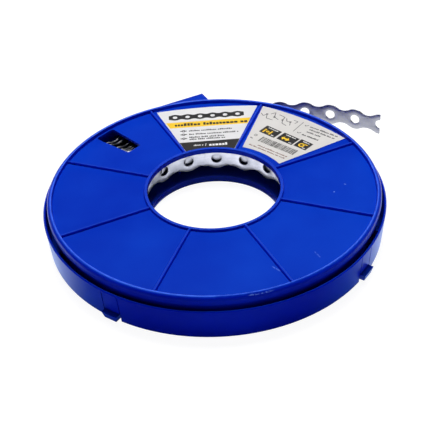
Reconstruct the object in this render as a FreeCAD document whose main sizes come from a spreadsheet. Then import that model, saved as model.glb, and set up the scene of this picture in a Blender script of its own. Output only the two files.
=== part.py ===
import FreeCAD, Part
import math
import os

import Sketcher

# Dispenser cassette for perforated steel fixing band: a drafted plastic tray, a snap-on cover with
# a look-through window, a spiral coil of band and the band's free tail, which leaves through a
# spout, plus two paper labels.
# Frame: +Z up, millimetres, origin on the axis of the centre hole at the resting face.
# Azimuths are degrees from +X towards +Y. The spout's own plan frame is turned by spout_heading, so
# that its X runs out through the mouth and its Y points away from the centre.

SIZES = {
    # tray
    "case_rim_radius": 82.8,
    "case_foot_radius": 81.7,
    "case_height": 16.0,
    "wall_thickness": 1.1,
    "floor_thickness": 2.0,
    "edge_break": 0.4,
    "overlap": 1.0,
    "hub_hole_radius": 32.9,
    "lip_thickness": 1.5,
    "lip_height": 3.5,
    "support_rib_width": 1.2,
    "support_rib_top": 4.8,
    "support_rib_inner": 42.0,
    "support_rib_outer": 78.5,
    "seat_rib_inner": 78.2,
    "seat_rib_outer": 81.6,
    # cover
    "cover_radius": 80.4,
    "cover_top": 21.7,
    "cover_round": 1.7,
    "rim_inner_radius": 78.2,
    "rim_slope": 0.3,
    "panel_level": 19.9,
    "panel_underside": 18.5,
    "cover_hole_radius": 32.2,
    "inner_rim_width": 1.5,
    "inner_rim_top": 21.1,
    "rim_edge_round": 0.4,
    "flange_bottom": 17.8,
    "skirt_radius": 79.2,
    "skirt_thickness": 1.2,
    "skirt_bottom": 12.0,
    "ray_width": 1.6,
    "ray_top": 21.0,
    "ray_taper": 12.0,
    "ray_inner": 33.0,
    "ray_outer": 78.7,
    "ray_shoulder": 20.6,
    "ray_crest_width": 1.3,
    "ray_crest_taper": 42.0,
    "ray_azimuth": 24.0,
    "ray_count": 8,
    # window
    "window_azimuth": 136.5,
    "window_inner": 54.6,
    "window_outer": 76.9,
    "window_inner_width": 8.7,
    "window_outer_width": 11.6,
    "window_corner": 1.2,
    # spout
    "spout_heading": 25.9,
    "spout_length": 36.0,
    "spout_lead": 14.0,
    "spout_wall": 1.5,
    "spout_root_inset": 2.6,
    "spout_block_depth": 14.0,
    "channel_depth": 16.0,
    "passage_start": 12.0,
    "passage_depth": 17.0,
    "mouth_clearance": 1.0,
    "roof_root_inset": 4.4,
    "roof_bend_inset": 6.0,
    "roof_depth": 12.5,
    "roof_underside": 17.5,
    "roof_top": 19.0,
    # catches
    "catch_azimuth": 54.5,
    "catch_count": 4,
    "catch_width": 8.2,
    "catch_window_width": 9.2,
    "catch_window_height": 5.0,
    "catch_window_inner": 77.2,
    "catch_reach": 85.5,
    "tongue_slot_width": 0.5,
    "tongue_slot_top": 15.2,
    "tongue_slot_inner": 78.5,
    "leg_bottom": 0.5,
    "leg_relief": 0.05,
    "barb_top": 4.5,
    "barb_bottom": 1.0,
    "barb_radius": 84.4,
    "barb_taper": 14.0,
    # perforated band
    "band_bottom": 5.1,
    "band_width": 12.0,
    "band_thickness": 0.8,
    "band_pitch": 14.1,
    "band_hole_radius": 2.6,
    "band_neck_width": 7.8,
    "band_scallop_radius": 6.88,
    "punch_reach": 3.0,
    "coil_inner_radius": 40.0,
    "coil_tight_radius": 60.0,
    "coil_tight_turns": 24.0,
    "coil_outer_radius": 73.4,
    "tail_leave_azimuth": 118.4,
    "tail_joint_gap": 0.4,
    "tail_straight": 37.3,
    "tail_holes_shown": 4,
    # labels
    "label_thickness": 0.12,
    "product_label_inner": 34.9,
    "size_label_inner": 37.5,
}

# Radii of the loose turns, one for each half turn: the sprung inner end, inwards of coil_inner_radius,
# and the slack outer turns, outwards from coil_tight_radius.
SPRUNG_HALF_TURNS = [37.5, 38.0, 38.7]
LOOSE_HALF_TURNS = [60.6, 61.3, 62.1, 63.1, 64.5, 66.0, 68.6, 70.8, 72.2, 73.4]

# The tail beyond the mouth: (radius, turn in degrees, clockwise negative), radius 0 for a straight.
TAIL_BENDS = [(12.0, -38.0), (0.0, 12.0), (58.0, 9.1), (172.0, -5.0), (90.0, -24.0), (200.0, 4.3)]

# Label outlines: (radius, azimuth) of the outer edge's two corners and middle, clockwise side first,
# and the azimuths of the inner edge's corners.
LABEL_OUTLINES = {
    "product_label": {"outer": [(77.4, 70.6), (74.0, 91.3), (76.5, 112.0)], "inner": (70.6, 112.2)},
    "size_label": {"outer": [(77.8, 28.4), (75.8, 48.3), (77.7, 68.2)], "inner": (28.0, 65.2)},
}

# How closely an edge found by its size has to match.
TOLERANCE = 0.01

UP = FreeCAD.Vector(0, 0, 1)

doc = FreeCAD.newDocument("BandCassette")
sheet = doc.addObject("Spreadsheet::Sheet", "Sizes")
for row, (alias, number) in enumerate(SIZES.items(), start=1):
    sheet.set(f"A{row}", alias)
    sheet.set(f"B{row}", str(number))
    sheet.setAlias(f"B{row}", alias)
doc.recompute()


def size(expression):
    """The number that an expression of the sheet's aliases gives."""
    return float(sheet.evalExpression(expression))


# Sketches and features


def origin_feature(body, role):
    return next(part for part in body.Origin.OriginFeatures if part.Role == role)


def new_body(label):
    body = doc.addObject("PartDesign::Body", label)
    body.Label = label
    body.Placement = FreeCAD.Placement()
    return body


def new_sketch(body, name, role="XY_Plane", turn="0", lift="0"):
    """A sketch on an origin plane, turned about the plane's normal and lifted along it."""
    sketch = body.newObject("Sketcher::SketchObject", name)
    sketch.AttachmentSupport = (origin_feature(body, role), "")
    sketch.MapMode = "FlatFace"
    sketch.setExpression("AttachmentOffset.Base.z", lift)
    sketch.setExpression("AttachmentOffset.Rotation.Angle", turn)
    return sketch


def draw_outline(sketch, corners):
    """A closed outline of straight lines. Each corner's distances from the origin follow the sheet."""
    points = [FreeCAD.Vector(size(x), size(y), 0) for x, y in corners]
    count = len(points)
    for i in range(count):
        sketch.addGeometry(Part.LineSegment(points[i], points[(i + 1) % count]))
    for i in range(count):
        sketch.addConstraint(Sketcher.Constraint("Coincident", i, 2, (i + 1) % count, 1))
    for i, corner in enumerate(corners):
        for kind, axis, expression in zip(("DistanceX", "DistanceY"), (-2, -1), corner):
            if expression == "0":
                sketch.addConstraint(Sketcher.Constraint("PointOnObject", i, 1, axis))
            else:
                rule = Sketcher.Constraint(kind, -1, 1, i, 1, size(expression))
                sketch.setExpression(f"Constraints[{sketch.addConstraint(rule)}]", expression)


def extrude(body, kind, name, sketch, length, upward=True):
    """A pad or a pocket along +Z or -Z from its sketch."""
    feature = body.newObject(f"PartDesign::{kind}", name)
    feature.Profile = sketch
    feature.Reversed = upward == (kind == "Pocket")
    feature.setExpression("Length", length)
    sketch.Visibility = False
    return feature


def spin(body, kind, name, sketch):
    """A revolution or a groove all the way round the Z axis."""
    feature = body.newObject(f"PartDesign::{kind}", name)
    feature.Profile = sketch
    feature.ReferenceAxis = (sketch, ["V_Axis"])
    feature.Angle = 360
    return feature


def repeat_round(body, name, features, count):
    pattern = body.newObject("PartDesign::PolarPattern", name)
    pattern.Originals = features
    pattern.Axis = (origin_feature(body, "Z_Axis"), [""])
    pattern.Angle = 360
    pattern.setExpression("Occurrences", count)
    body.Tip = pattern
    return pattern


def box_corners(x_low, x_high, half_width):
    """A plan rectangle that lies across the sketch's X axis."""
    return [
        (x_low, f"-({half_width})"),
        (x_high, f"-({half_width})"),
        (x_high, half_width),
        (x_low, half_width),
    ]


# Tray


def make_base_shell():
    body = new_body("base_shell")
    rim = "Sizes.case_rim_radius"
    foot = "Sizes.case_foot_radius"
    wall = "Sizes.wall_thickness"
    height = "Sizes.case_height"
    floor = "Sizes.floor_thickness"
    hub = "Sizes.hub_hole_radius"
    brk = "Sizes.edge_break"

    blank = new_sketch(body, "BlankSection", "XZ_Plane")
    draw_outline(
        blank,
        [
            (hub, "0"),
            (f"{foot} - {brk}", "0"),
            (foot, brk),
            (rim, f"{height} - {brk}"),
            (f"{rim} - {brk}", height),
            (hub, height),
        ],
    )
    spin(body, "Revolution", "Blank", blank)

    block_inner = f"{rim} - Sizes.spout_block_depth"
    spout = new_sketch(body, "SpoutPlan", turn="Sizes.spout_heading")
    draw_outline(
        spout,
        [
            ("-Sizes.spout_lead", f"{rim} - Sizes.spout_root_inset"),
            ("0", rim),
            ("Sizes.spout_length", rim),
            ("Sizes.spout_length", block_inner),
            ("-Sizes.spout_lead", block_inner),
        ],
    )
    extrude(body, "Pad", "SpoutBlock", spout, height)

    lip = f"{hub} + Sizes.lip_thickness"
    past_hub = f"{hub} - Sizes.overlap"
    past_top = f"{height} + Sizes.overlap"
    inner_foot = f"{foot} - {wall} + ({rim} - {foot}) * {floor} / {height}"
    hollow = new_sketch(body, "HollowSection", "XZ_Plane")
    draw_outline(
        hollow,
        [
            (past_hub, "Sizes.lip_height"),
            (lip, "Sizes.lip_height"),
            (lip, floor),
            (inner_foot, floor),
            (f"{rim} - {wall}", f"{height} - {brk}"),
            (f"{rim} - {wall} + {brk}", height),
            (f"{rim} - {wall} + {brk}", past_top),
            (past_hub, past_top),
        ],
    )
    spin(body, "Groove", "Hollow", hollow)

    channel = new_sketch(body, "ChannelPlan", turn="Sizes.spout_heading", lift=floor)
    channel_outer = f"{rim} - Sizes.spout_wall"
    channel_inner = f"{rim} - Sizes.channel_depth"
    jamb = "Sizes.spout_length + Sizes.mouth_clearance"
    draw_outline(
        channel,
        [
            ("0", channel_inner),
            (jamb, channel_inner),
            (jamb, channel_outer),
            ("0", channel_outer),
        ],
    )
    extrude(body, "Pocket", "TailChannel", channel, height)

    root = f"{floor} - Sizes.overlap"
    rib = new_sketch(body, "SupportRibPlan", turn="Sizes.ray_azimuth", lift=root)
    rib_corners = box_corners(
        "Sizes.support_rib_inner", "Sizes.support_rib_outer", "Sizes.support_rib_width / 2"
    )
    draw_outline(rib, rib_corners)
    low_rib = extrude(body, "Pad", "SupportRib", rib, f"Sizes.support_rib_top - ({root})")
    seat = new_sketch(body, "SeatRibPlan", turn="Sizes.ray_azimuth", lift=root)
    seat_corners = box_corners(
        "Sizes.seat_rib_inner", "Sizes.seat_rib_outer", "Sizes.support_rib_width / 2"
    )
    draw_outline(seat, seat_corners)
    high_rib = extrude(body, "Pad", "SeatRib", seat, f"Sizes.skirt_bottom - ({root})")
    repeat_round(body, "InsideRibs", [low_rib, high_rib], "Sizes.ray_count")

    slots = []
    reach = "Sizes.catch_reach"
    half = "Sizes.catch_window_width / 2"
    window = new_sketch(body, "CatchWindowPlan", turn="Sizes.catch_azimuth")
    draw_outline(window, box_corners("Sizes.catch_window_inner", reach, half))
    slots.append(extrude(body, "Pocket", "CatchWindow", window, "Sizes.catch_window_height"))
    for side, sign in (("Left", "1"), ("Right", "-1")):
        slot = new_sketch(body, f"{side}SlotPlan", turn="Sizes.catch_azimuth")
        near = f"{sign} * ({half} - Sizes.tongue_slot_width)"
        far = f"{sign} * {half}"
        inner = "Sizes.tongue_slot_inner"
        draw_outline(slot, [(inner, near), (reach, near), (reach, far), (inner, far)])
        slots.append(extrude(body, "Pocket", f"{side}Slot", slot, "Sizes.tongue_slot_top"))
    repeat_round(body, "CatchOpenings", slots, "Sizes.catch_count")
    return body


# Cover


def cover_section():
    hole = "Sizes.cover_hole_radius"
    top = "Sizes.cover_top"
    panel = "Sizes.panel_level"
    under = "Sizes.panel_underside"
    inner_rim = f"{hole} + Sizes.inner_rim_width"
    skirt = "Sizes.skirt_radius"
    skirt_inner = f"{skirt} - Sizes.skirt_thickness"
    return [
        (hole, under),
        (hole, "Sizes.inner_rim_top"),
        (inner_rim, "Sizes.inner_rim_top"),
        (f"{inner_rim} + Sizes.rim_slope", panel),
        ("Sizes.rim_inner_radius - Sizes.rim_slope", panel),
        ("Sizes.rim_inner_radius", top),
        ("Sizes.cover_radius", top),
        ("Sizes.cover_radius", "Sizes.flange_bottom"),
        (skirt, "Sizes.flange_bottom"),
        (skirt, "Sizes.skirt_bottom"),
        (skirt_inner, "Sizes.skirt_bottom"),
        (skirt_inner, under),
    ]


def edge_at(shape, radius, level):
    """The name of the whole circular edge of that radius at that level."""
    for number, edge in enumerate(shape.Edges, start=1):
        circle = isinstance(edge.Curve, Part.Circle) and abs(edge.Curve.Radius - radius) < TOLERANCE
        if circle and abs(edge.Curve.Center.z - level) < TOLERANCE:
            return f"Edge{number}"
    raise ValueError(f"no circular edge of radius {radius} at {level}")


def upright_edges(shape, azimuth, inner, outer):
    """The names of the upright straight edges near an azimuth, at one of two distances out along it."""
    toward = ahead(FreeCAD.Vector(), size(azimuth), 1)
    names = []
    for number, edge in enumerate(shape.Edges, start=1):
        first, last = edge.Vertexes[0].Point, edge.Vertexes[-1].Point
        upright = math.hypot(first.x - last.x, first.y - last.y) < TOLERANCE < abs(first.z - last.z)
        if upright and min(abs(first * toward - size(level)) for level in (inner, outer)) < TOLERANCE:
            names.append(f"Edge{number}")
    return names


def round_edges(body, name, base, edges, radius):
    rounded = body.newObject("PartDesign::Fillet", name)
    rounded.Base = (base, edges)
    rounded.setExpression("Radius", radius)
    doc.recompute()
    return rounded


def make_top_cover():
    body = new_body("top_cover")
    section = new_sketch(body, "CoverSection", "XZ_Plane")
    draw_outline(section, cover_section())
    disc = spin(body, "Revolution", "CoverDisc", section)
    doc.recompute()

    crown_edge = edge_at(disc.Shape, size("Sizes.cover_radius"), size("Sizes.cover_top"))
    crown = round_edges(body, "RimRound", disc, [crown_edge], "Sizes.cover_round")
    rims = (
        ("Sizes.cover_hole_radius", "Sizes.inner_rim_top"),
        ("Sizes.cover_hole_radius + Sizes.inner_rim_width", "Sizes.inner_rim_top"),
        ("Sizes.rim_inner_radius", "Sizes.cover_top"),
    )
    rim_edges = [edge_at(crown.Shape, size(radius), size(level)) for radius, level in rims]
    round_edges(body, "RimEdges", crown, rim_edges, "Sizes.rim_edge_round")

    ray = new_sketch(body, "RayPlan", turn="Sizes.ray_azimuth", lift="Sizes.panel_level")
    draw_outline(ray, box_corners("Sizes.ray_inner", "Sizes.ray_outer", "Sizes.ray_width / 2"))
    rays = extrude(body, "Pad", "Ray", ray, "Sizes.ray_shoulder - Sizes.panel_level")
    rays.setExpression("TaperAngle", "-Sizes.ray_taper")
    crest = new_sketch(body, "RayCrestPlan", turn="Sizes.ray_azimuth", lift="Sizes.ray_shoulder")
    crest_half = "Sizes.ray_crest_width / 2"
    draw_outline(crest, box_corners("Sizes.ray_inner", "Sizes.ray_outer", crest_half))
    crests = extrude(body, "Pad", "RayCrest", crest, "Sizes.ray_top - Sizes.ray_shoulder")
    crests.setExpression("TaperAngle", "-Sizes.ray_crest_taper")
    repeat_round(body, "Rays", [rays, crests], "Sizes.ray_count")

    window = new_sketch(body, "WindowPlan", turn="Sizes.window_azimuth", lift="Sizes.skirt_bottom")
    half_in = "Sizes.window_inner_width / 2"
    half_out = "Sizes.window_outer_width / 2"
    draw_outline(
        window,
        [
            ("Sizes.window_inner", f"-{half_in}"),
            ("Sizes.window_outer", f"-{half_out}"),
            ("Sizes.window_outer", half_out),
            ("Sizes.window_inner", half_in),
        ],
    )
    opening = extrude(body, "Pocket", "ViewWindow", window, "Sizes.cover_top")
    doc.recompute()
    corners = upright_edges(opening.Shape, "Sizes.window_azimuth", "Sizes.window_inner", "Sizes.window_outer")
    round_edges(body, "WindowCorners", opening, corners, "Sizes.window_corner")

    roof = new_sketch(body, "RoofPlan", turn="Sizes.spout_heading", lift="Sizes.roof_underside")
    rim = "Sizes.case_rim_radius"
    draw_outline(
        roof,
        [
            ("-Sizes.spout_lead", f"{rim} - Sizes.roof_root_inset"),
            ("0", rim),
            ("Sizes.spout_length", rim),
            ("Sizes.spout_length", f"{rim} - Sizes.roof_depth"),
            ("Sizes.passage_start", f"{rim} - Sizes.roof_bend_inset"),
        ],
    )
    extrude(body, "Pad", "SpoutRoof", roof, "Sizes.roof_top - Sizes.roof_underside")

    floor = "Sizes.skirt_bottom - Sizes.overlap"
    passage = new_sketch(body, "PassagePlan", turn="Sizes.spout_heading", lift=floor)
    passage_end = "Sizes.spout_length + Sizes.mouth_clearance + Sizes.overlap"
    passage_inner = f"{rim} - Sizes.passage_depth"
    passage_outer = f"{rim} + Sizes.overlap"
    draw_outline(
        passage,
        [
            ("Sizes.passage_start", passage_inner),
            (passage_end, passage_inner),
            (passage_end, passage_outer),
            ("Sizes.passage_start", passage_outer),
        ],
    )
    extrude(body, "Pocket", "TailPassage", passage, f"Sizes.roof_underside - ({floor})")

    half_catch = "Sizes.catch_width / 2"
    leg = new_sketch(body, "LegPlan", turn="Sizes.catch_azimuth", lift="Sizes.leg_bottom")
    leg_inner = "Sizes.skirt_radius - Sizes.skirt_thickness + Sizes.leg_relief"
    leg_outer = "Sizes.skirt_radius - Sizes.leg_relief"
    draw_outline(leg, box_corners(leg_inner, leg_outer, half_catch))
    legs = extrude(body, "Pad", "SnapLeg", leg, "Sizes.skirt_bottom - Sizes.leg_bottom + Sizes.overlap")
    barb = new_sketch(body, "BarbPlan", turn="Sizes.catch_azimuth", lift="Sizes.barb_top")
    draw_outline(barb, box_corners(leg_inner, "Sizes.barb_radius", half_catch))
    barb_height = "Sizes.barb_top - Sizes.barb_bottom"
    barbs = extrude(body, "Pad", "SnapBarb", barb, barb_height, upward=False)
    barbs.setExpression("TaperAngle", "-Sizes.barb_taper")
    repeat_round(body, "Catches", [legs, barbs], "Sizes.catch_count")
    return body


# Band: one strip standing on edge, followed in plan as straights and arcs


def beside(point, heading, offset):
    """The point that lies to the left of a heading by an offset."""
    angle = math.radians(heading)
    return point + FreeCAD.Vector(-math.sin(angle), math.cos(angle), 0) * offset


def ahead(point, heading, distance):
    angle = math.radians(heading)
    return point + FreeCAD.Vector(math.cos(angle), math.sin(angle), 0) * distance


def along(point, heading, radius, travel):
    """Where a stretch is after some travel: millimetres on a straight, signed degrees on an arc."""
    if radius == 0:
        return ahead(point, heading, travel), heading
    toward = math.copysign(radius, travel)
    centre = beside(point, heading, toward)
    return beside(centre, heading + travel, -toward), heading + travel


def stretch_length(radius, travel):
    return travel if radius == 0 else radius * math.radians(abs(travel))


def follow(point, heading, stretches):
    """The start of each stretch, and the end of the last one."""
    route = []
    for radius, travel in stretches:
        route.append((point, heading, radius, travel))
        point, heading = along(point, heading, radius, travel)
    return route, point, heading


def side_edges(route, offset):
    edges = []
    for point, heading, radius, travel in route:
        middle, middle_heading = along(point, heading, radius, travel / 2)
        end, end_heading = along(point, heading, radius, travel)
        first = beside(point, heading, offset)
        last = beside(end, end_heading, offset)
        if radius == 0:
            edges.append(Part.makeLine(first, last))
        else:
            edges.append(Part.Arc(first, beside(middle, middle_heading, offset), last).toShape())
    return edges


def strip(route, end, end_heading):
    """The plain strip along a route of the band's lower edge."""
    half = size("Sizes.band_thickness") / 2
    start, start_heading = route[0][:2]
    edges = side_edges(route, half) + side_edges(route, -half)
    edges.append(Part.makeLine(beside(start, start_heading, half), beside(start, start_heading, -half)))
    edges.append(Part.makeLine(beside(end, end_heading, half), beside(end, end_heading, -half)))
    face = Part.Face(Part.Wire(Part.__sortEdges__(edges)))
    return face.extrude(UP * size("Sizes.band_width"))


def station(route, distance):
    """The point and heading at a distance along a route."""
    for point, heading, radius, travel in route:
        length = stretch_length(radius, travel)
        if distance <= length:
            return along(point, heading, radius, travel * distance / length)
        distance -= length
    return along(point, heading, radius, travel)


def across(point, heading, height, radius):
    """A cutting cylinder through the strip's thickness, at a height above its lower edge."""
    reach = size("Sizes.punch_reach")
    base = beside(point, heading, -reach) + UP * height
    return Part.makeCylinder(radius, 2 * reach, base, beside(FreeCAD.Vector(), heading, 1))


def feature_of(label, shape):
    feature = doc.addObject("Part::Feature", label)
    feature.Label = label
    feature.Shape = shape
    feature.Placement = FreeCAD.Placement()
    return feature


def coil_end():
    """Where the coil hands over to the tail, on the band's lower edge, and which way it heads."""
    azimuth = size("Sizes.tail_leave_azimuth")
    axis_point = FreeCAD.Vector(0, 0, size("Sizes.band_bottom"))
    return ahead(axis_point, azimuth, size("Sizes.coil_outer_radius")), azimuth - 90


def make_band_coil():
    """Half-turn arcs: a sprung inner end, tight even turns, then loose ones out to where the tail leaves."""
    tight = round(2 * size("Sizes.coil_tight_turns"))
    inner = size("Sizes.coil_inner_radius")
    step = (size("Sizes.coil_tight_radius") - inner) / tight
    radii = SPRUNG_HALF_TURNS + [inner + step * i for i in range(tight + 1)] + LOOSE_HALF_TURNS
    point, heading = coil_end()
    backwards = [((a + b) / 2, 180) for a, b in zip(radii[::-1], radii[-2::-1])]
    route, end, end_heading = follow(point, heading + 180, backwards)
    print(f"band in the coil: {sum(stretch_length(*s[2:]) for s in route) / 1000:.2f} m")
    return feature_of("band_coil", strip(route, end, end_heading))


def make_band_tail():
    point, heading = coil_end()
    start = ahead(point, heading, size("Sizes.tail_joint_gap"))
    stretches = [(0.0, size("Sizes.tail_straight"))] + TAIL_BENDS
    route, end, end_heading = follow(start, heading, stretches)
    length = sum(stretch_length(*s) for s in stretches)
    solid = strip(route, end, end_heading)

    pitch = size("Sizes.band_pitch")
    centre = size("Sizes.band_width / 2")
    scallop = size("Sizes.band_scallop_radius")
    off_centre = size("Sizes.band_neck_width / 2 + Sizes.band_scallop_radius")
    cuts = []
    for cell in range(int(length / pitch)):
        point, heading = station(route, length - cell * pitch)
        cuts.append(across(point, heading, centre, size("Sizes.band_hole_radius")))
        point, heading = station(route, length - (cell + 0.5) * pitch)
        cuts += [across(point, heading, centre + off_centre * sign, scallop) for sign in (1, -1)]
    holes = [station(route, length - cell * pitch)[0] for cell in range(SIZES["tail_holes_shown"])]
    print("tail holes:", [(round(p.x, 1), round(p.y, 1)) for p in holes], f"length {length:.1f}")
    return feature_of("band_tail", solid.cut(cuts))


# Labels


def polar(radius, azimuth, level):
    return ahead(FreeCAD.Vector(0, 0, level), azimuth, radius)


def make_label(name):
    """A thin sector whose outer edge is a little flatter than the rim beside it."""
    level = size("Sizes.panel_level")
    inner = size(f"Sizes.{name}_inner")
    low, outer_middle, high = (polar(*place, level) for place in LABEL_OUTLINES[name]["outer"])
    inner_low, inner_high = LABEL_OUTLINES[name]["inner"]
    inner_middle = polar(inner, (inner_low + inner_high) / 2, level)
    corners = [low, high, polar(inner, inner_high, level), polar(inner, inner_low, level)]
    edges = [
        Part.Arc(corners[0], outer_middle, corners[1]).toShape(),
        Part.makeLine(corners[1], corners[2]),
        Part.Arc(corners[2], inner_middle, corners[3]).toShape(),
        Part.makeLine(corners[3], corners[0]),
    ]
    face = Part.Face(Part.Wire(edges))
    return feature_of(name, face.extrude(UP * size("Sizes.label_thickness")))


def check_and_export(parts):
    doc.recompute()
    for obj in doc.Objects:
        if "Invalid" in obj.State or "Error" in obj.State:
            raise ValueError(f"{obj.Name} failed: {obj.State}")
    for part in parts:
        if part.Shape.isNull() or not part.Shape.isValid():
            raise ValueError(f"{part.Label} has no valid shape")
    os.makedirs("parts", exist_ok=True)
    for part in parts:
        part.Shape.exportStep(f"parts/{part.Label}.step")
        box = part.Shape.BoundBox
        print(
            f"{part.Label}: {len(part.Shape.Solids)} solid, {part.Shape.Volume / 1000:.2f} cm3, "
            f"z {box.ZMin:.2f} to {box.ZMax:.2f}"
        )


check_and_export(
    [
        make_base_shell(),
        make_top_cover(),
        make_band_coil(),
        make_band_tail(),
        make_label("product_label"),
        make_label("size_label"),
    ]
)
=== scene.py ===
import math
import random

import bmesh
import bpy
import numpy as np
from mathutils import Matrix, Vector


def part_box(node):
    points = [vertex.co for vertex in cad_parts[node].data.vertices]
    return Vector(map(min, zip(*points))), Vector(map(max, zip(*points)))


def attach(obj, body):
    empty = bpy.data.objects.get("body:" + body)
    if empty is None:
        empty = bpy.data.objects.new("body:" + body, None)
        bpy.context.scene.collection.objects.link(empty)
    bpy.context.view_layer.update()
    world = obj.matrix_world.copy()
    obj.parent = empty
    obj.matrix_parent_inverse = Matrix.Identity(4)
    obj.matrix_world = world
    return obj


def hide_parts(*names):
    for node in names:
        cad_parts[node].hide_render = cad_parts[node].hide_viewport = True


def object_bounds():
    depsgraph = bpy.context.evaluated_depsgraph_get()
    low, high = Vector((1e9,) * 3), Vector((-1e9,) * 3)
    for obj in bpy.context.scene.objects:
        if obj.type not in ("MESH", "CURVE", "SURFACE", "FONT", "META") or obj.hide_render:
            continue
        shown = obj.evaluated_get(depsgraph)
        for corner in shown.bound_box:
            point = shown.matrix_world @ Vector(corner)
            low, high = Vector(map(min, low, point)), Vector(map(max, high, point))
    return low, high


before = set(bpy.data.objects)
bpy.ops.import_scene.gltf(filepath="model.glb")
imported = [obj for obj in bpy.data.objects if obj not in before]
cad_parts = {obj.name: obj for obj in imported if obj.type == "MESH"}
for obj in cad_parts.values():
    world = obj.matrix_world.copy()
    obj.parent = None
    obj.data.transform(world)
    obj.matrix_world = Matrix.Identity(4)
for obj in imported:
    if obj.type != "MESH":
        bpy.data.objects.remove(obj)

CAD_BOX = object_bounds()
MM = 0.001

# Camera: orbit round the case's axis at the resting face.
CAMERA_DISTANCE = 0.4972
CAMERA_ELEVATION = math.radians(38.25)
CAMERA_ROLL = math.radians(2.955)
CAMERA_AIM = Vector((-0.0001, 0.0044, 0.0))
CAMERA_LENS = 83.97

# Band: the strip's measures as in the CAD source, in metres.
BAND_LOW, BAND_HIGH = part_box("band_coil")
BAND_WIDTH = BAND_HIGH.z - BAND_LOW.z
BAND_PITCH = 14.1 * MM
BAND_HOLE = 2.6 * MM
BAND_NECK = 7.8 * MM
BAND_THICKNESS = 0.8 * MM
SHEAR_ROUND = 0.3 * MM
SHEAR_DROP = 0.12 * MM
WELD = 0.002 * MM
SHARP_ANGLE = math.radians(40)

# Coil and tail: plan route as in the CAD source.
SPRUNG_RADII = [37.5, 38.0, 38.7]
TIGHT_RADII = (40.0, 60.0)
TIGHT_HALF_TURNS = 48
LOOSE_RADII = [60.6, 61.3, 62.1, 63.1, 64.5, 66.0, 68.6, 70.8, 72.2, 73.4]
LEAVE_AZIMUTH = 118.4
INNER_HOLE_AZIMUTH = 86.35
WINDOW_HOLE_AZIMUTH = 139.5
WINDOW_TURNS = 7
SEEN_TURNS = 2.6
TAIL_START = 0.4

# Points along each side of a cell of band, from the coil's hidden turns to the free tail.
WOUND_SAMPLES = 9
SEEN_SAMPLES = 13
TAIL_SAMPLES = 25
AZIMUTH_SAMPLES = 200  # for each half turn, in the table of azimuth against length

# Loose turns ride up a little, in waves (radians per metre) that die out over a length of band.
LIFT_HEIGHT = 0.25 * MM
LIFT_REACH = 4.3
LIFT_WAVE = 9.1
TAIL_STRETCHES = [(0, 37.3), (12, -38), (0, 12), (58, 9.1), (172, -5), (90, -24), (200, 4.3)]


# ---------------------------------------------------------------- meshes


def new_object(name, vertices, faces, materials=(), face_materials=None):
    mesh = bpy.data.meshes.new(name)
    mesh.from_pydata([tuple(v) for v in vertices], [], [tuple(f) for f in faces])
    for material in materials:
        mesh.materials.append(material)
    if face_materials is not None:
        mesh.polygons.foreach_set("material_index", face_materials)
    mesh.update()
    obj = bpy.data.objects.new(name, mesh)
    bpy.context.scene.collection.objects.link(obj)
    return obj


class Route:
    """A plan line of straights and arcs. Radii and straights in millimetres, arc travels in degrees."""

    def __init__(self, start, heading, stretches):
        self.rows = []
        point, length = np.array(start, float), 0.0
        for radius, travel in stretches:
            if radius == 0:
                span, bend = travel * MM, 0.0
            else:
                span = radius * MM * math.radians(abs(travel))
                bend = math.copysign(1 / (radius * MM), travel)
            self.rows.append((length, point[0], point[1], heading, bend))
            point, heading = self._step(point, heading, bend, span)
            length += span
        self.length = length
        self.table = np.array(self.rows)

    @staticmethod
    def _step(point, heading, bend, span):
        if bend == 0:
            return point + span * np.array([math.cos(heading), math.sin(heading)]), heading
        turned = heading + bend * span
        shift = np.array([math.sin(turned) - math.sin(heading), math.cos(heading) - math.cos(turned)]) / bend
        return point + shift, turned

    def at(self, distance):
        """x, y and heading at each distance along the line."""
        row = np.clip(np.searchsorted(self.table[:, 0], distance, side="right") - 1, 0, len(self.table) - 1)
        start, x, y, heading, bend = (self.table[row, i] for i in range(5))
        span = distance - start
        turned = heading + bend * span
        straight = bend == 0
        safe = np.where(straight, 1, bend)
        dx = np.where(straight, span * np.cos(heading), (np.sin(turned) - np.sin(heading)) / safe)
        dy = np.where(straight, span * np.sin(heading), (np.cos(heading) - np.cos(turned)) / safe)
        return x + dx, y + dy, turned


def half_width(s):
    """Half the band's width at a distance from a hole's centre: a round lobe that runs into a hollow neck."""
    pitch, neck, wide = BAND_PITCH / 2, BAND_NECK / 2, BAND_WIDTH / 2
    hollow = (pitch**2 + neck**2 - wide**2) / (2 * (wide - neck))
    meet = wide * pitch / (wide + hollow)
    s = abs(s)
    if s <= meet:
        return math.sqrt(wide**2 - s**2)
    return neck + hollow - math.sqrt(hollow**2 - (pitch - s) ** 2)


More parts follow.
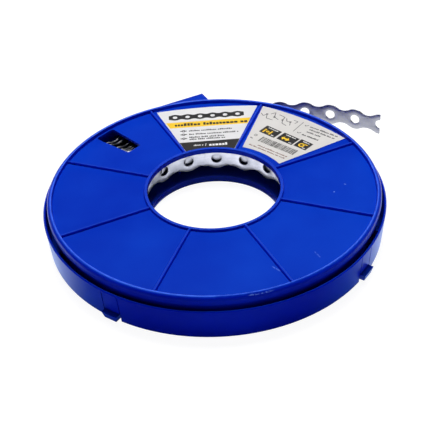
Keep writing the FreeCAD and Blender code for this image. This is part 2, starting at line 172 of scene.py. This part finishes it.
def cell_template(samples, sheared):
    """One cell of band round a hole: rings of (s, w) from the hole out to the outline, and half thicknesses.

    The last value names each outline point's side: 1 top, -1 bottom, 0 where the next cell joins."""
    half = BAND_PITCH / 2
    run = [half * math.sin(math.pi / 2 * (1 - 2 * i / (samples - 1))) for i in range(samples)]
    neck = BAND_NECK / 2
    joins = [neck - SHEAR_ROUND, 0, SHEAR_ROUND - neck] if sheared else [0]
    outline = [(half, -w, 0) for w in joins]
    outline += [(s, half_width(s), 1) for s in run]
    outline += [(-half, w, 0) for w in joins]
    outline += [(-s, -half_width(s), -1) for s in run]
    rings, thickness = [], []
    full = BAND_THICKNESS / 2
    for s, w, side in outline:
        reach = math.hypot(s, w)
        hole = (s / reach * BAND_HOLE, w / reach * BAND_HOLE)
        gap = reach - BAND_HOLE
        if sheared:
            shares = [0, SHEAR_ROUND / gap, 0.5, 1 - SHEAR_ROUND / gap, 1]
            halves = [full - SHEAR_DROP, full, full, full, full - (SHEAR_DROP if side else 0)]
        else:
            shares, halves = [0, 1], [full, full]
        rings.append([(hole[0] + (s - hole[0]) * f, hole[1] + (w - hole[1]) * f) for f in shares])
        thickness.append(halves)
    points = np.array(rings).transpose(1, 0, 2)
    return points, np.array(thickness).T, [side for *_, side in outline]


def strip(name, route, cells, samples, sheared, lift, cut_last=False):
    """A run of perforated, scalloped band standing on edge along a plan route.

    Each cell is (distance of its hole, stretch along the band). cut_last cuts it through the last hole."""
    points, thickness, sides = cell_template(samples, sheared)
    rings, count = points.shape[:2]
    centres, stretch = np.array(cells).T[:, :, None, None]
    s = centres + stretch * points[None, :, :, 0]
    x, y, heading = route.at(s)
    low = BAND_LOW.z + lift(s)
    height = low + BAND_WIDTH / 2 + points[None, :, :, 1]
    both = []
    for sign in (1, -1):
        off = sign * thickness[None]
        both.append(np.stack([x - np.sin(heading) * off, y + np.cos(heading) * off, height], -1))
    vertices = np.stack(both, 1).reshape(-1, 3)
    per_cell = 2 * rings * count

    faces = []

    def quad(cell, *corners):
        """A face of one cell between four corners, each (face of the strip, ring, point)."""
        first = cell * per_cell
        faces.append([first + (side * rings + ring) * count + point % count for side, ring, point in corners])

    last, outer = len(cells) - 1, rings - 1
    top_middle = sides.index(1) + samples // 2
    bottom_middle = sides.index(-1) + samples // 2
    for cell in range(len(cells)):
        cut = cut_last and cell == last
        span = range(top_middle, bottom_middle) if cut else range(count)
        for j in span:
            k = j + 1
            for ring in range(rings - 1):
                quad(cell, (0, ring, j), (0, ring, k), (0, ring + 1, k), (0, ring + 1, j))
                quad(cell, (1, ring + 1, j), (1, ring + 1, k), (1, ring, k), (1, ring, j))
            quad(cell, (0, 0, k), (0, 0, j), (1, 0, j), (1, 0, k))
            on_edge = points[-1, j, 1] * points[-1, k % count, 1] > 0 and sides[j] and sides[k % count]
            first_end = cell == 0 and points[-1, j, 0] < 0 and not on_edge
            last_end = cell == last and not cut and points[-1, j, 0] > 0 and not on_edge
            if on_edge or first_end or last_end:
                quad(cell, (0, outer, j), (0, outer, k), (1, outer, k), (1, outer, j))
        if cut:
            for ring in range(rings - 1):
                for point in (top_middle, bottom_middle):
                    quad(cell, (0, ring, point), (0, ring + 1, point), (1, ring + 1, point), (1, ring, point))
    obj = new_object(name, vertices, faces)
    place = np.zeros((len(vertices), 3), np.float32)
    place[:, 0] = np.broadcast_to(s[:, None], (len(cells), 2, rings, count)).reshape(-1)
    place[:, 1] = np.broadcast_to(points[None, None, :, :, 1], (len(cells), 2, rings, count)).reshape(-1)
    along = obj.data.attributes.new("strip", "FLOAT_VECTOR", "POINT")
    along.data.foreach_set("vector", place.ravel())
    work = bmesh.new()
    work.from_mesh(obj.data)
    bmesh.ops.remove_doubles(work, verts=work.verts, dist=WELD)
    loose = [v for v in work.verts if not v.link_faces]
    bmesh.ops.delete(work, geom=loose, context="VERTS")
    bmesh.ops.recalc_face_normals(work, faces=work.faces)
    work.to_mesh(obj.data)
    work.free()
    obj.data.polygons.foreach_set("use_smooth", [True] * len(obj.data.polygons))
    obj.data.set_sharp_from_angle(angle=SHARP_ANGLE)
    return obj


def join(objects, name):
    whole = objects[0]
    with bpy.context.temp_override(active_object=whole, selected_editable_objects=objects, object=whole):
        bpy.ops.object.join()
    whole.name = whole.data.name = name
    return whole


def leave_point():
    """Where the tail leaves the coil, and the tail's heading there."""
    azimuth = math.radians(LEAVE_AZIMUTH)
    return LOOSE_RADII[-1] * MM * np.array([math.cos(azimuth), math.sin(azimuth)]), azimuth - math.pi / 2


def make_coil():
    """The wound band, with its holes set out so that the ones seen in the hole and the window fall right."""
    step = (TIGHT_RADII[1] - TIGHT_RADII[0]) / TIGHT_HALF_TURNS
    tight = [TIGHT_RADII[0] + step * i for i in range(TIGHT_HALF_TURNS + 1)]
    radii = SPRUNG_RADII + tight + LOOSE_RADII
    start, heading = leave_point()
    inward = [((a + b) / 2, 180) for a, b in zip(radii[::-1], radii[-2::-1])]
    route = Route(start, heading + math.pi, inward)
    along = np.linspace(0, route.length, AZIMUTH_SAMPLES * len(radii))
    x, y, _ = route.at(along)
    azimuth = np.degrees(np.unwrap(np.arctan2(y, x)))
    inner_turn = azimuth[-1] - 360
    turn = (inner_turn - INNER_HOLE_AZIMUTH) // 360 + 1
    inner_hole = np.interp(INNER_HOLE_AZIMUTH + 360 * turn, azimuth, along)
    window_holes = np.interp(WINDOW_HOLE_AZIMUTH + 360 * np.arange(WINDOW_TURNS), azimuth, along)
    necks = [window_holes[0] - 1.5 * BAND_PITCH, *(window_holes + BAND_PITCH / 2)]
    necks += [inner_hole - BAND_PITCH / 2, route.length]
    cells = []
    for first, last in zip(necks, necks[1:]):
        count = round((last - first) / BAND_PITCH)
        spacing = (last - first) / count
        cells += [(first + (k + 0.5) * spacing, spacing / BAND_PITCH) for k in range(count)]

    def lift(s):
        loose = np.clip(1 - s / LIFT_REACH, 0, 1)
        return LIFT_HEIGHT * loose * (1 + np.sin(s * LIFT_WAVE)) / 2

    inner = int(SEEN_TURNS * 2 * math.pi * TIGHT_RADII[0] * MM / BAND_PITCH)
    wound = strip("band_wound", route, cells[:-inner], WOUND_SAMPLES, False, lift)
    seen = strip("band_inner_turns", route, cells[-inner:], SEEN_SAMPLES, True, lift)
    return join([wound, seen], "perforated_band_coil")


def make_tail():
    start, heading = leave_point()
    start = start + TAIL_START * MM * np.array([math.cos(heading), math.sin(heading)])
    route = Route(start, heading, TAIL_STRETCHES)
    count = int((route.length - BAND_PITCH / 2) / BAND_PITCH) + 1
    cells = [(route.length - BAND_PITCH * k, 1.0) for k in range(count)][::-1]
    return strip("perforated_band_tail", route, cells, TAIL_SAMPLES, True, np.zeros_like, cut_last=True)


# ---------------------------------------------------------------- label prints


INK_HEIGHT = 0.015 * MM
LAYER_HEIGHT = 0.01 * MM


class Print:
    """Flat ink shapes on a label, in millimetres: u along the lines, v outwards from the case's axis."""

    def __init__(self, name, node, azimuth):
        self.name, self.level = name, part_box(node)[1].z
        self.azimuth = math.radians(azimuth)
        self.vertices, self.faces, self.inks = [], [], []
        self.random = random.Random(name)

    def shape(self, ink, points, layer=0):
        base = len(self.vertices)
        c, s = math.cos(self.azimuth), math.sin(self.azimuth)
        count = len(points)
        for z in (self.level, self.level + INK_HEIGHT + LAYER_HEIGHT * layer):
            self.vertices += [((u * s + v * c) * MM, (v * s - u * c) * MM, z) for u, v in points]
        self.faces.append([base + count + i for i in range(count)])
        self.faces.append([base + i for i in reversed(range(count))])
        around = [(base + i, base + (i + 1) % count) for i in range(count)]
        self.faces += [[a, b, b + count, a + count] for a, b in around]
        self.inks += [ink] * (count + 2)

    def bar(self, ink, u0, v0, u1, v1, tilt=0.0, layer=0):
        """An upright rectangle; tilt in degrees raises it along u, about the print's middle."""
        rise = math.tan(math.radians(tilt))
        corners = [(u0, v0), (u1, v0), (u1, v1), (u0, v1)]
        self.shape(ink, [(u, v + u * rise) for u, v in corners], layer)

    def stroke(self, ink, points, width, layer=0):
        for (u0, v0), (u1, v1) in zip(points, points[1:]):
            length = math.hypot(u1 - u0, v1 - v0)
            du, dv = -(v1 - v0) / length * width / 2, (u1 - u0) / length * width / 2
            left = [(u0 - du, v0 - dv), (u1 - du, v1 - dv)]
            self.shape(ink, left + [(u1 + du, v1 + dv), (u0 + du, v0 + dv)], layer)

    def ring(self, ink, u, v, inner, outer, sides, layer=0, turn=0.0):
        """A ring of flat segments."""
        for i in range(sides):
            a, b = (turn + 2 * math.pi * k / sides for k in (i, i + 1))
            corners = [(inner, a), (outer, a), (outer, b), (inner, b)]
            self.shape(ink, [(u + r * math.cos(t), v + r * math.sin(t)) for r, t in corners], layer)

    def line(self, ink, u0, u1, v, height, tilt=0.0, layer=0, word=(3, 9)):
        """A row of small blocks in word-like groups, with no letters in it."""
        u, left = u0, 0
        while u < u1:
            if left == 0:
                left = self.random.randint(*word)
                u += height * 0.5
            wide = height * self.random.uniform(0.45, 0.72)
            tall = height * self.random.choice((0.72, 0.72, 1.0))
            if u + wide > u1:
                break
            self.bar(ink, u, v - height / 2, u + wide, v - height / 2 + tall, tilt, layer)
            u += wide + height * 0.16
            left -= 1

    def make(self, materials):
        return new_object(self.name, self.vertices, self.faces, materials, self.inks)


BLACK, YELLOW, GREY, WHITE, BROWN = range(5)


def band_picture(art, ink, u, v, cells, scale):
    """A small picture of the band, cell by cell."""
    points, _, _ = cell_template(9, False)
    count = points.shape[1]
    for cell in range(cells):
        middle = u + (cell + 0.5) * BAND_PITCH / MM * scale
        for j in range(count):
            corners = [points[0, j], points[1, j], points[1, (j + 1) % count], points[0, (j + 1) % count]]
            art.shape(ink, [(middle + s / MM * scale, v + w / MM * scale) for s, w in corners])


def make_product_print(materials):
    art = Print("product_label_print", "product_label", 91.5)
    band_picture(art, BLACK, -20.4, 65.4, 6, 0.475)
    art.shape(YELLOW, [(-21.9, 60.4), (-19.9, 55.1), (21.0, 55.6), (23.1, 60.9)])
    art.line(BLACK, -18.6, 21.0, 57.9, 2.5, layer=1, word=(5, 10))
    for v, ends in ((51.7, (13.3,)), (48.4, (16.5,)), (44.6, (8.2, 8.8))):
        art.ring(BLACK, -13.0, v, 0.4, 0.95, 12)
        art.bar(BLACK, -14.7, v - 0.35, -13.9, v + 0.35)
        art.bar(BLACK, -12.1, v - 0.35, -11.3, v + 0.35)
        for row, end in enumerate(ends):
            shift = 0.0 if len(ends) == 1 else 0.95 - 1.9 * row
            art.line(GREY, -10.8, end, v + shift, 1.25)
    low, high = math.radians(90 - 91.5 + 70.7), math.radians(90 - 91.5 + 112.1)
    arc = [low + (high - low) * i / 12 for i in range(13)]
    inner = [(34.95 * math.cos(a), 34.95 * math.sin(a)) for a in arc]
    art.shape(BLACK, [(15.7, 41.5), (-15.3, 40.9)] + inner[::-1])
    art.line(WHITE, -8.8, -3.0, 37.9, 1.1, layer=1)
    art.stroke(WHITE, [(-2.2, 36.7), (-1.8, 39.0)], 0.3, layer=1)
    art.line(WHITE, -1.4, 10.2, 37.7, 2.2, layer=1, word=(6, 8))
    return art.make(materials)


def make_size_print(materials):
    art = Print("size_label_print", "size_label", 46.5)
    sketch = [
        [(-25.0, 66.2), (-22.6, 64.9), (-21.9, 67.4), (-19.8, 64.0), (-16.0, 64.6)],
        [(-20.4, 68.6), (-19.0, 71.3), (-17.0, 67.4), (-13.7, 66.6)],
        [(-16.2, 70.9), (-12.3, 70.6), (-11.8, 67.8), (-10.1, 65.2), (-6.9, 64.7)],
        [(-7.3, 68.8), (-5.6, 66.0)],
        [(-7.0, 71.4), (-4.2, 71.4), (-4.5, 69.0)],
        [(-11.0, 70.4), (-9.2, 68.2), (-7.3, 68.8)],
    ]
    for points in sketch:
        art.stroke(GREY, points, 0.36)
    for u, v in ((-21.9, 67.4), (-17.0, 67.4), (-11.8, 67.8), (-7.3, 68.8)):
        art.ring(GREY, u, v, 0.35, 0.65, 12)
    art.stroke(GREY, [(-1.7, 73.0), (-0.7, 62.7)], 0.3)
    for u, v in ((1.4, 71.2), (2.3, 63.5)):
        art.stroke(GREY, [(u - 0.8, v + 0.2), (u - 0.1, v - 0.6), (u + 1.0, v + 0.9)], 0.4)
    for u0, u1, v in ((3.2, 20.8, 71.4), (4.4, 20.4, 69.0), (4.6, 13.4, 66.5), (4.2, 15.4, 63.0)):
        art.line(GREY, u0, u1, v, 1.15, tilt=4.0)
    boxes = ((-14.7, -4.7, 51.7), (-3.4, 6.5, 52.1), (7.3, 14.9, 52.6))
    for u0, u1, v in boxes:
        art.bar(BLACK, u0, v, u1, v + 7.0)
        art.line(WHITE, u0 + 1.6, u1 - 1.4, v + 5.9, 0.75, layer=1)
        art.line(WHITE, u1 - 3.1, u1 - 0.7, v + 1.2, 0.7, layer=1)
    icons = [(u0 + 1.4, v + 0.9) for u0, _, v in boxes]
    (a, b), (c, d), (e, f) = icons
    art.bar(YELLOW, a, b, a + 0.9, b + 3.4, layer=1)
    art.bar(YELLOW, a + 3.9, b, a + 4.8, b + 3.4, layer=1)
    art.shape(YELLOW, [(a + 1.1, b + 1.7), (a + 2.3, b + 0.7), (a + 2.3, b + 2.7)], layer=1)
    art.shape(YELLOW, [(a + 3.7, b + 1.7), (a + 2.5, b + 2.7), (a + 2.5, b + 0.7)], layer=1)
    art.shape(YELLOW, [(c, d + 1.7), (c + 1.6, d), (c + 1.6, d + 3.4)], layer=1)
    art.bar(YELLOW, c + 1.6, d + 1.1, c + 3.4, d + 2.3, layer=1)
    art.shape(YELLOW, [(c + 5.0, d + 1.7), (c + 3.4, d + 3.4), (c + 3.4, d)], layer=1)
    art.ring(YELLOW, e + 1.8, f + 1.8, 0.8, 1.7, 20, layer=1)
    art.bar(YELLOW, e + 1.8, f + 2.9, e + 4.6, f + 3.6, layer=1)
    u = -9.6
    while u < 12.6:
        wide = art.random.choice((0.22, 0.34, 0.5))
        art.bar(BLACK, u, 45.0, u + wide, 49.7, tilt=2.6)
        u += wide + art.random.choice((0.2, 0.3, 0.42))
    art.ring(GREY, -13.7, 48.1, 0.7, 1.1, 4, turn=math.pi / 4)
    art.line(GREY, -15.0, -12.8, 44.9, 0.8)
    art.line(BROWN, -11.4, 11.1, 40.1, 0.9, tilt=2.8)
    art.line(BROWN, -7.4, 11.2, 42.0, 0.9, tilt=2.8)
    return art.make(materials)


# ---------------------------------------------------------------- materials


class Shader:
    """A small helper round one material's node tree."""

    def __init__(self, name, **values):
        self.material = bpy.data.materials.new(name)
        self.material.use_nodes = True
        self.tree = self.material.node_tree
        self.bsdf = self.tree.nodes["Principled BSDF"]
        for socket, value in values.items():
            self.bsdf.inputs[socket.replace("_", " ")].default_value = value

    def node(self, kind, inputs=(), **settings):
        made = self.tree.nodes.new("ShaderNode" + kind)
        for key, value in settings.items():
            setattr(made, key, value)
        for socket, value in dict(inputs).items():
            if isinstance(value, bpy.types.NodeSocket):
                self.tree.links.new(value, made.inputs[socket])
            else:
                made.inputs[socket].default_value = value
        return made

    def link(self, output, socket):
        self.tree.links.new(output, self.bsdf.inputs[socket])

    def place(self):
        return self.node("TexCoord").outputs["Object"]

    def noise(self, vector, scale, detail, roughness=0.5):
        inputs = {"Vector": vector, "Scale": scale, "Detail": detail, "Roughness": roughness}
        return self.node("TexNoise", inputs).outputs["Fac"]

    def ramp(self, fac, low, high, start=0.0, end=1.0):
        """Maps fac from low..high to start..end, clamped."""
        inputs = {"Value": fac, "From Min": low, "From Max": high, "To Min": start, "To Max": end}
        return self.node("MapRange", inputs).outputs["Result"]

    def math(self, operation, a, b):
        return self.node("Math", {0: a, 1: b}, operation=operation).outputs[0]

    def mix(self, fac, a, b, blend="MIX"):
        made = self.node("Mix", data_type="RGBA", blend_type=blend)
        for socket, value in ((0, fac), (6, a), (7, b)):
            if isinstance(value, bpy.types.NodeSocket):
                self.tree.links.new(value, made.inputs[socket])
            else:
                made.inputs[socket].default_value = value
        return made.outputs[2]

    def scuffs(self, place, rows):
        """A mask of small broken oval marks."""
        grit = self.ramp(self.noise(place, 900, 3, 0.7), 0.42, 0.62)
        total = 0.0
        for x, y, z, half_long, half_wide, heading in rows:
            local = self.node(
                "Mapping",
                {
                    "Vector": place,
                    "Location": (x * MM, y * MM, z * MM),
                    "Rotation": (0, 0, math.radians(heading)),
                    "Scale": (half_long * MM, half_wide * MM, 1.5 * MM),
                },
                vector_type="TEXTURE",
            )
            spot = self.node("TexGradient", {"Vector": local.outputs["Vector"]}, gradient_type="SPHERICAL")
            total = self.math("MAXIMUM", self.ramp(spot.outputs["Fac"], 0.0, 0.3), total)
        return self.math("MULTIPLY", self.math("MULTIPLY", total, grit), 0.85)

    def rubbed_and_crest_highlight(self, place, rows):
        """A mask of raised edges round the case's axis, for handling wear and a painted crest highlight."""
        radius = self.node("VectorMath", {0: self.plan(place)}, operation="LENGTH").outputs["Value"]
        height = self.node("SeparateXYZ", {"Vector": place}).outputs["Z"]
        wear = self.ramp(self.noise(place, 260, 2), 0.3, 0.6, 0.6, 1.0)
        total = 0.0
        for (low, high), (inner, outer), strength in rows:
            raised = self.ramp(height, low * MM, high * MM, 0.0, strength)
            inside = self.ramp(radius, inner * MM, outer * MM, 1.0, 0.0)
            total = self.math("MAXIMUM", self.math("MULTIPLY", raised, inside), total)
        return self.math("MULTIPLY", total, wear)

    def plan(self, place):
        """A position with its height left out."""
        return self.node("VectorMath", {0: place, 1: (1, 1, 0)}, operation="MULTIPLY").outputs["Vector"]

    def bump(self, height, distance, strength, normal=None):
        inputs = {"Height": height, "Distance": distance, "Strength": strength}
        if normal is not None:
            inputs["Normal"] = normal
        return self.node("Bump", inputs).outputs["Normal"]


# Raised edges polished by handling and given a painted crest highlight, in millimetres and strength: heights
# over which the shine comes in, radii over which it goes out again.
RUBBED_AND_CREST_HIGHLIGHT = [
    ((20.85, 20.98), (77.5, 78.0), 0.2),
    ((21.5, 21.66), (78.7, 79.2), 1.0),
]

# Scuffs on the cover: x, y and z of the middle, half length and half width in millimetres, and heading.
SCUFFS = [
    (63.2, -2.1, 19.9, 0.8, 0.6, 20),
    (57.2, -8.0, 19.9, 0.7, 0.5, 60),
    (44.2, -53.2, 19.9, 2.6, 0.4, -63),
    (25.2, -61.2, 19.9, 2.9, 0.4, -47),
    (15.5, -78.3, 21.4, 4.0, 0.35, 11),
    (21.0, -77.0, 21.5, 3.0, 0.35, 17),
]


def plastic(name):
    shader = Shader(name, IOR=1.46, Specular_IOR_Level=0.25, Specular_Tint=(0.1, 0.45, 1.0, 1))
    place = shader.place()
    broad = shader.noise(place, 22, 2)
    cloud = shader.noise(place, 120, 4, 0.6)
    grain = shader.noise(place, 1400, 2)
    # Painted light: faces turned up get a lighter, greener blue (top) and faces turned sideways a darker blue
    # (side), standing in for light from above.
    facing_up_for_painted_light = shader.node("SeparateXYZ", {"Vector": shader.node("NewGeometry").outputs["Normal"]}).outputs["Z"]
    side = shader.mix(shader.ramp(broad, 0.35, 0.7), (0.0004, 0.007, 0.42, 1), (0.0006, 0.011, 0.50, 1))
    top = shader.mix(shader.ramp(broad, 0.35, 0.7), (0.0012, 0.026, 0.45, 1), (0.0021, 0.042, 0.53, 1))
    colour = shader.mix(shader.ramp(facing_up_for_painted_light, 0.7, 0.98), side, top)
    colour = shader.mix(shader.ramp(cloud, 0.15, 0.85), colour, (1.08, 1.12, 1.05, 1), "MULTIPLY")
    colour = shader.mix(shader.ramp(grain, 0.2, 0.8), colour, (0.94, 0.92, 0.97, 1), "MULTIPLY")
    # Painted highlight: a lighter blue along the rim and rib crests stands in for the light they catch,
    # together with real handling wear.
    colour = shader.mix(shader.rubbed_and_crest_highlight(place, RUBBED_AND_CREST_HIGHLIGHT), colour, (0.055, 0.155, 0.90, 1))
    colour = shader.mix(shader.scuffs(place, SCUFFS), colour, (0.16, 0.30, 0.85, 1))
    shader.link(colour, "Base Color")
    shader.link(shader.ramp(cloud, 0.15, 0.85, 0.28, 0.33), "Roughness")
    fine = shader.bump(grain, 0.02 * MM, 0.25)
    shader.link(shader.bump(broad, 0.2 * MM, 0.15, fine), "Normal")
    return shader.material


def steel(name):
    shader = Shader(name, Metallic=1.0)
    place = shader.node("Attribute", attribute_name="strip").outputs["Vector"]
    spread = shader.node("Mapping", {"Vector": place, "Scale": (120, 900, 1)}).outputs["Vector"]
    streak = shader.noise(spread, 1.0, 3)
    spangle = shader.node("TexVoronoi", {"Vector": place, "Scale": 480}, feature="F1")
    flakes = shader.node("SeparateColor", {"Color": spangle.outputs["Color"]}).outputs[0]
    cloud = shader.noise(place, 160, 3)
    colour = shader.mix(shader.ramp(flakes, 0.0, 1.0), (0.34, 0.35, 0.38, 1), (0.45, 0.46, 0.50, 1))
    colour = shader.mix(shader.ramp(cloud, 0.35, 0.7, 0.0, 0.5), colour, (0.29, 0.30, 0.34, 1))
    colour = shader.mix(shader.ramp(streak, 0.4, 0.75, 0.0, 0.3), colour, (0.55, 0.56, 0.60, 1))
    shader.link(colour, "Base Color")
    shader.link(shader.ramp(flakes, 0.0, 1.0, 0.34, 0.48), "Roughness")
    shader.link(shader.bump(streak, 0.02 * MM, 0.3), "Normal")
    return shader.material


def paper(name, colour):
    shader = Shader(name, Roughness=0.5)
    place = shader.place()
    cloud = shader.noise(place, 90, 3)
    fibre = shader.noise(place, 2500, 2)
    darker = tuple(c * 0.93 for c in colour[:3]) + (1,)
    shader.link(shader.mix(shader.ramp(cloud, 0.35, 0.7), colour, darker), "Base Color")
    shader.link(shader.ramp(fibre, 0.3, 0.7, 0.42, 0.55), "Roughness")
    shader.link(shader.bump(fibre, 0.01 * MM, 0.3), "Normal")
    return shader.material


def ink(name, colour):
    shader = Shader(name)
    cover = shader.noise(shader.place(), 1800, 2)
    worn = tuple(min(1.0, c * 1.25 + 0.01) for c in colour[:3]) + (1,)
    shader.link(shader.mix(shader.ramp(cover, 0.35, 0.7), colour, worn), "Base Color")
    shader.link(shader.ramp(cover, 0.3, 0.7, 0.35, 0.5), "Roughness")
    return shader.material


# ---------------------------------------------------------------- stage


def aimed(location, target, roll=0.0):
    """A turn that looks from location to target, rolled clockwise."""
    forward = (Vector(target) - Vector(location)).normalized()
    right = forward.cross(Vector((0, 0, 1))).normalized()
    up = right.cross(forward)
    rolled_right = right * math.cos(roll) - up * math.sin(roll)
    rolled_up = right * math.sin(roll) + up * math.cos(roll)
    return Matrix((rolled_right, rolled_up, -forward)).transposed().to_4x4()


def make_camera():
    data = bpy.data.cameras.new("camera")
    data.sensor_width = 36
    data.lens = CAMERA_LENS
    data.clip_start, data.clip_end = 0.01, 20
    camera = bpy.data.objects.new("camera", data)
    height = CAMERA_DISTANCE * math.sin(CAMERA_ELEVATION)
    spot = Vector((0, -CAMERA_DISTANCE * math.cos(CAMERA_ELEVATION), height))
    camera.matrix_world = Matrix.Translation(spot) @ aimed(spot, CAMERA_AIM, CAMERA_ROLL)
    bpy.context.scene.collection.objects.link(camera)
    bpy.context.scene.camera = camera


LIGHT_DISTANCE = 1.0


def softbox(name, azimuth, elevation, size, power, diffuse=True, glossy=True):
    """An area light aimed at the case's middle. Azimuth from +X, size is (wide, high)."""
    data = bpy.data.lights.new(name, "AREA")
    data.shape = "RECTANGLE"
    data.size, data.size_y = size
    data.energy = power
    lamp = bpy.data.objects.new(name, data)
    a, e = math.radians(azimuth), math.radians(elevation)
    spot = LIGHT_DISTANCE * Vector((math.cos(a) * math.cos(e), math.sin(a) * math.cos(e), math.sin(e)))
    middle = (CAD_BOX[0] + CAD_BOX[1]) / 2
    lamp.matrix_world = Matrix.Translation(middle + spot) @ aimed(spot, (0, 1e-6, 0))
    lamp.visible_camera = False
    lamp.visible_diffuse, lamp.visible_glossy = diffuse, glossy
    bpy.context.scene.collection.objects.link(lamp)
    return lamp


def rectangle(reach, front=None):
    """A square's corners, or with its front edge moved."""
    front = -reach if front is None else front
    return [(-reach, front), (reach, front), (reach, reach), (-reach, reach)]


def flat_stage(name, outline, level, material):
    obj = new_object(name, [(x, y, level) for x, y in outline], [range(len(outline))], [material])
    return obj


# The floor's sheets: the one that is seen, the one that throws light back, and the two mirrored in the case
# and the band. Half sizes and edge in metres.
FLOOR_REACH = 4
BOUNCE_REACH = 1
SHEEN_FRONT = -0.08
FLOOR_LEVEL = -0.05 * MM
BOUNCE_LEVEL = -0.2 * MM
SHEEN_LEVEL = -0.1 * MM
HOLE_SHEEN_LEVEL = 0.1 * MM
HOLE_SHEEN_RADIUS = 32.6 * MM

# Colours mirrored from the floor: strength, heading in degrees, and stops of (distance along the heading in
# millimetres, colour).
OUTER_GLOW = (
    2.0,
    90,
    [
        (-76, (0, 0, 0)),
        (-56, (0.06, 0.16, 0.36)),
        (-42, (0.36, 0.48, 0.74)),
        (-26, (0.60, 0.74, 0.97)),
        (12, (0.60, 0.74, 0.97)),
        (40, (0.64, 0.64, 0.67)),
    ],
)
HOLE_GLOW = (3.2, 118, [(12, (0.93, 0.94, 1.0)), (32, (0.11, 0.12, 0.15))])


def glowing(name, strength, heading, stops):
    """A material that glows in a run of colours along a heading."""
    shader = Shader(name, Base_Color=(0, 0, 0, 1), Specular_IOR_Level=0.0, Emission_Strength=strength)
    toward = (math.cos(math.radians(heading)), math.sin(math.radians(heading)), 0)
    along = shader.node("VectorMath", {0: shader.place(), 1: toward}, operation="DOT_PRODUCT")
    near, far = stops[0][0], stops[-1][0]
    colours = shader.node("ValToRGB", {"Fac": shader.ramp(along.outputs["Value"], near * MM, far * MM)})
    points = colours.color_ramp.elements
    while len(points) < len(stops):
        points.new(0.5)
    for point, (distance, colour) in zip(points, stops):
        point.position = (distance - near) / (far - near)
        point.color = (*colour, 1)
    shader.link(colours.outputs["Color"], "Emission Color")
    return shader.material


def light_only(source, objects):
    """Lets a light or a glowing sheet reach only some objects."""
    chosen = bpy.data.collections.new(source.name + "_receivers")
    for obj in objects:
        chosen.objects.link(obj)
    source.light_linking.receiver_collection = chosen


def make_stage(bands):
    scene = bpy.context.scene
    scene.view_settings.view_transform = "Standard"
    world = bpy.data.worlds.new("studio")
    world.use_nodes = True
    world.node_tree.nodes["Background"].inputs["Color"].default_value = (1, 1, 1, 1)
    world.node_tree.nodes["Background"].inputs["Strength"].default_value = 1.0
    scene.world = world
    world.cycles_visibility.diffuse = False
    world.cycles_visibility.glossy = False

    seen = Shader("floor_seen", Base_Color=(0.2, 0.2, 0.2, 1), Roughness=1.0, Specular_IOR_Level=0.0)
    seen.bsdf.inputs["Emission Color"].default_value = (1, 1, 1, 1)
    seen.bsdf.inputs["Emission Strength"].default_value = 0.93
    floor = flat_stage("floor", rectangle(FLOOR_REACH), FLOOR_LEVEL, seen.material)
    floor.visible_diffuse = floor.visible_glossy = floor.visible_shadow = False
    bounce = Shader("floor_bounce", Base_Color=(0.8, 0.8, 0.8, 1), Roughness=1.0, Specular_IOR_Level=0.0)
    under = flat_stage("floor_bounce", rectangle(BOUNCE_REACH), BOUNCE_LEVEL, bounce.material)
    under.visible_camera = under.visible_glossy = False
    outer_glow = glowing("outer_glow", *OUTER_GLOW)
    sheen = flat_stage("floor_sheen", rectangle(BOUNCE_REACH, SHEEN_FRONT), SHEEN_LEVEL, outer_glow)
    turns = np.radians(np.arange(0, 360, 10))
    round_hole = [(HOLE_SHEEN_RADIUS * math.cos(a), HOLE_SHEEN_RADIUS * math.sin(a)) for a in turns]
    hole = flat_stage("hole_sheen", round_hole, HOLE_SHEEN_LEVEL, glowing("hole_glow", *HOLE_GLOW))
    for obj in (sheen, hole):
        obj.visible_camera = obj.visible_diffuse = obj.visible_shadow = False
    light_only(hole, bands)

    softbox("key", 90, 68, (0.7, 0.5), 12, glossy=False)
    softbox("fill_front", 270, 12, (0.9, 0.35), 0.9, glossy=False)
    softbox("fill_left", 205, 12, (0.4, 0.35), 1.2, glossy=False)
    softbox("fill_right", 335, 12, (0.4, 0.35), 1.2, glossy=False)
    softbox("crest", 90, 70, (1.2, 0.35), 8, diffuse=False)
    softbox("backdrop", 90, 8, (1.6, 0.25), 1.2, diffuse=False)
    light_only(softbox("edge_light", 90, 38, (1.2, 0.5), 6, diffuse=False), bands)


def dress():
    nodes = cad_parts
    blue = plastic("blue_moulded_plastic")
    zinc = steel("galvanised_sheet")
    looks = {
        "base_shell": blue,
        "top_cover": blue,
        "product_label": paper("white_label_paper", (0.76, 0.755, 0.765, 1)),
        "size_label": paper("ivory_label_paper", (0.68, 0.66, 0.64, 1)),
    }
    for name, material in looks.items():
        nodes[name].data.materials.clear()
        nodes[name].data.materials.append(material)

    inks = [
        ink("black_ink", (0.012, 0.011, 0.012, 1)),
        ink("yellow_ink", (0.85, 0.52, 0.02, 1)),
        ink("grey_ink", (0.05, 0.05, 0.055, 1)),
        ink("white_ink", (0.75, 0.75, 0.75, 1)),
        ink("brown_ink", (0.17, 0.08, 0.06, 1)),
    ]
    for make in (make_product_print, make_size_print):
        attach(make(inks), "case")

    bands = []
    for make, node, body in ((make_coil, "band_coil", "coil"), (make_tail, "band_tail", "tail")):
        band = make()
        band.data.materials.append(zinc)
        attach(band, body)
        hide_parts(node)
        bands.append(band)
    return bands


make_camera()
make_stage(dress())
